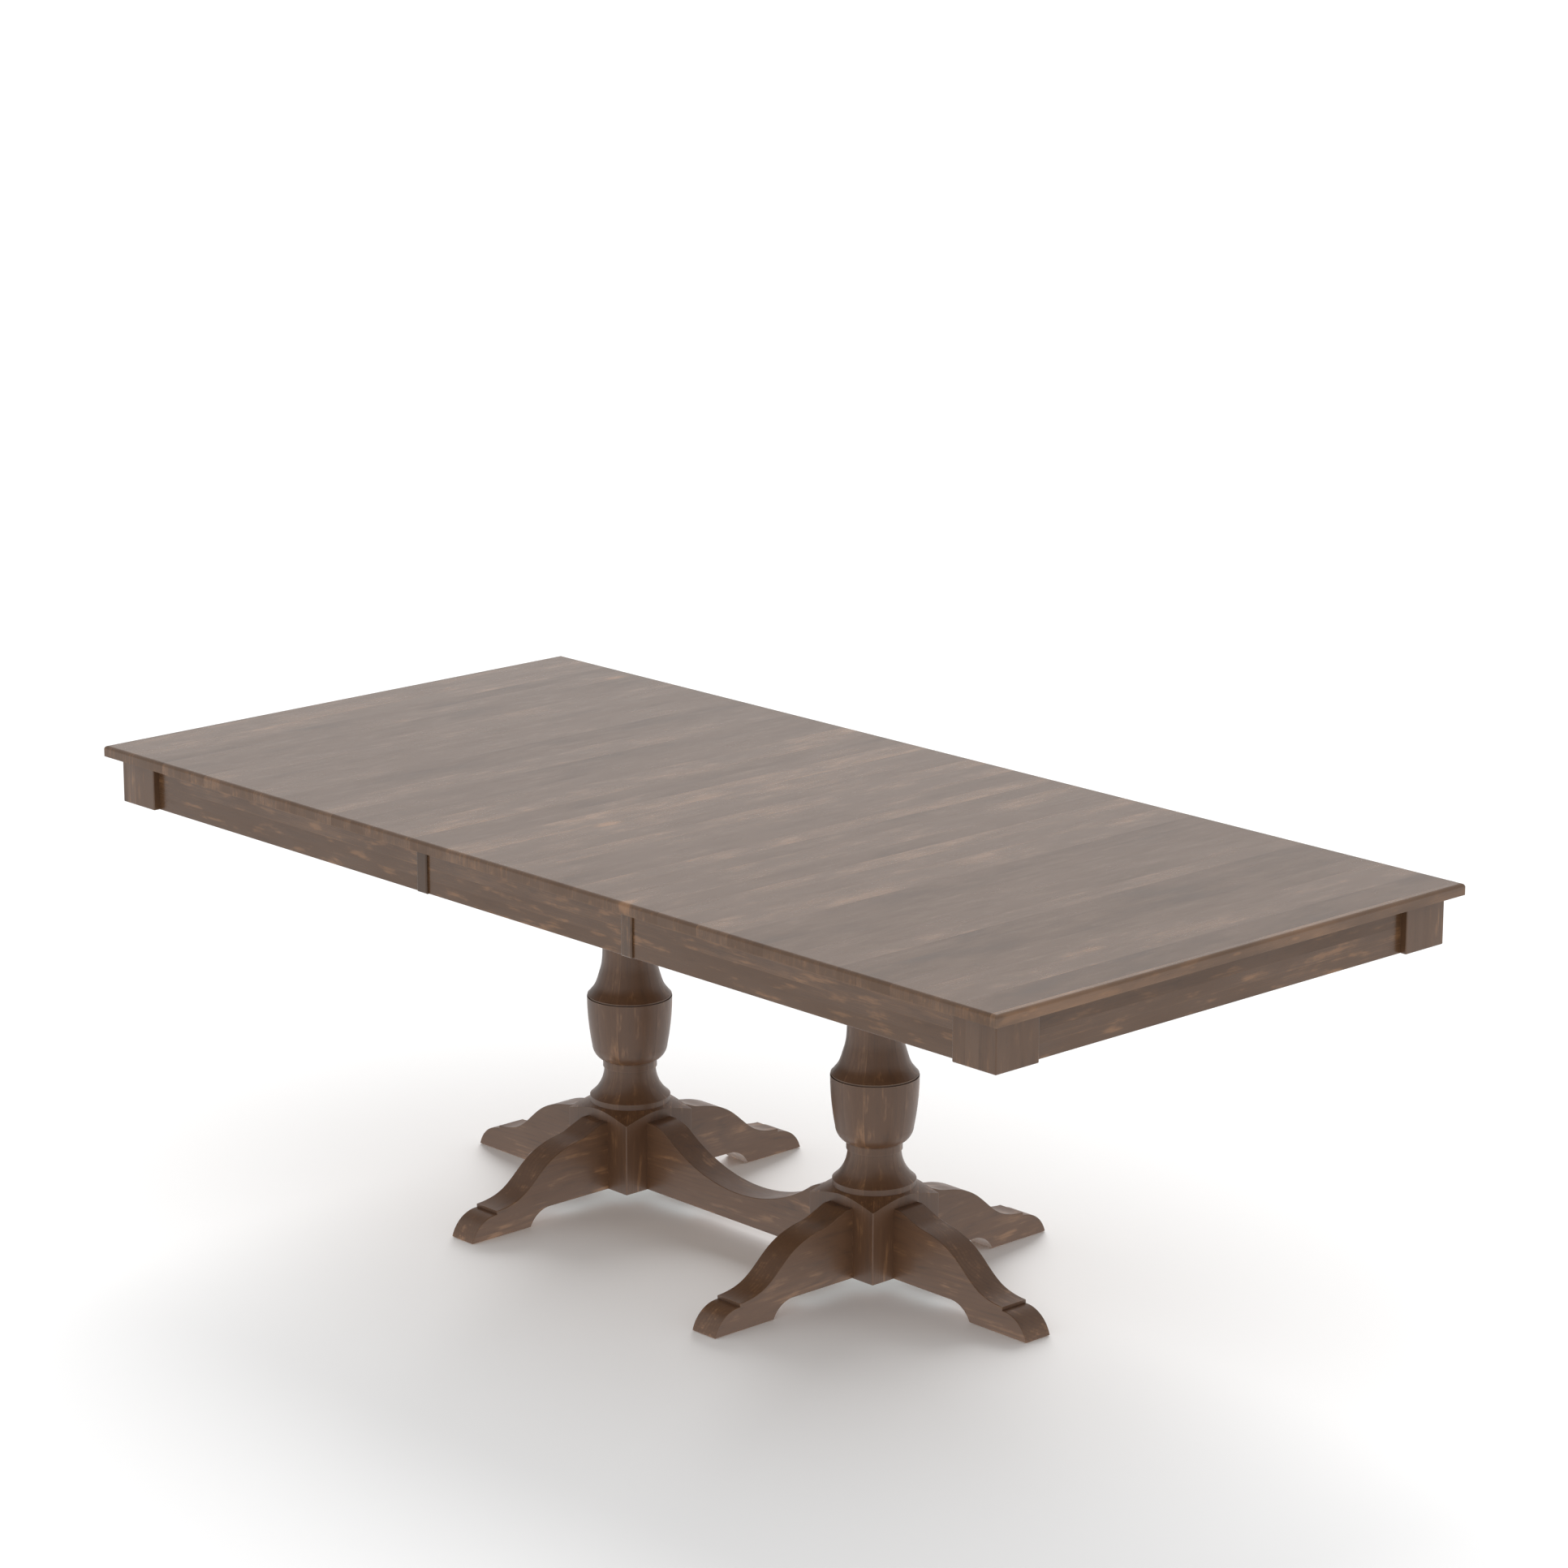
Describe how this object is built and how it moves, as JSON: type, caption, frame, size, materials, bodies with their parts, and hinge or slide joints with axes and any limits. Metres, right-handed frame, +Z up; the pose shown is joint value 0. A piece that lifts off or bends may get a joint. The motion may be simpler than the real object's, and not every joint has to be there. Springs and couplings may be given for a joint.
{
  "type": "rectangular dining table",
  "caption": "Rectangular extending dining table in dark stained wood: plain aprons with corner blocks, a lift-out leaf, and turned pedestals on scrolled feet joined by a hollowed stretcher.",
  "frame": {"origin": "on the floor under the middle of the table top", "axes": "+X along the table's length, +Y across it away from the viewer of the picture, +Z up"},
  "size_m": [2.235, 1.07, 0.758],
  "materials": {
    "top_wood": "satin",
    "frame_wood": "satin",
    "pedestal_wood": "satin",
    "slide_wood": "matte",
    "steel": "satin",
    "gear_steel": "satin",
    "glide_nylon": "matte"
  },
  "bodies": {
    "base": {"column_left": "pedestal_wood", "column_right": "pedestal_wood", "foot_left_front": "pedestal_wood", "foot_left_back": "pedestal_wood", "foot_left_end": "pedestal_wood", "foot_right_front": "pedestal_wood", "foot_right_back": "pedestal_wood", "foot_right_end": "pedestal_wood", "stretcher": "pedestal_wood", "foot_dowels": "slide_wood", "post_plate_left": "steel", "post_plate_right": "steel", "plate_screws": "steel", "floor_glides": "glide_nylon", "bearer_left": "slide_wood", "bearer_right": "slide_wood", "column_lag_screws": "steel", "fixed_rail_front": "slide_wood", "fixed_rail_back": "slide_wood", "slide_keys": "slide_wood", "rail_screws": "steel", "gear_bridge": "slide_wood", "pinion_axle": "steel"},
    "pinion": {"pinion": "gear_steel"},
    "leaf": {"leaf_top": "top_wood", "leaf_front_apron": "frame_wood", "leaf_back_apron": "frame_wood", "leaf_cleats": "slide_wood", "leaf_glue_blocks": "slide_wood", "leaf_screws": "steel"},
    "left_half": {"left_top": "top_wood", "left_front_apron": "frame_wood", "left_back_apron": "frame_wood", "left_end_apron": "frame_wood", "left_front_corner_block": "frame_wood", "left_back_corner_block": "frame_wood", "left_front_batten": "frame_wood", "left_back_batten": "frame_wood", "left_front_runner": "slide_wood", "left_back_runner": "slide_wood", "left_rack": "gear_steel", "left_rack_block": "slide_wood", "left_screws": "steel", "left_pins": "slide_wood", "left_glue_blocks": "slide_wood"},
    "right_half": {"right_top": "top_wood", "right_front_apron": "frame_wood", "right_back_apron": "frame_wood", "right_end_apron": "frame_wood", "right_front_corner_block": "frame_wood", "right_back_corner_block": "frame_wood", "right_front_batten": "frame_wood", "right_back_batten": "frame_wood", "right_front_runner": "slide_wood", "right_back_runner": "slide_wood", "right_rack": "gear_steel", "right_rack_block": "slide_wood", "right_screws": "steel", "right_pins": "slide_wood", "right_glue_blocks": "slide_wood"}
  },
  "joints": [
    {"name": "right_half_slide", "type": "slide", "parent": "base", "child": "right_half", "axis": [1, 0, 0], "range_m": [0, 0.06]},
    {"name": "left_half_slide", "type": "slide", "parent": "base", "child": "left_half", "axis": [-1, 0, 0], "range_m": [0, 0.06]},
    {"name": "pinion_turn", "type": "hinge", "parent": "base", "child": "pinion", "pos_m": [0, 0, 0.7065], "axis": [0, 0, 1], "range_deg": [0, 115]},
    {"name": "leaf_lift", "type": "slide", "parent": "base", "child": "leaf", "axis": [0, 0, 1], "range_m": [0, 0.35]}
  ],
  "couplings": [
    {"joint": "left_half_slide", "follows": "right_half_slide", "ratio": 1},
    {"joint": "pinion_turn", "follows": "right_half_slide", "rad_per_m": 33.333}
  ]
}
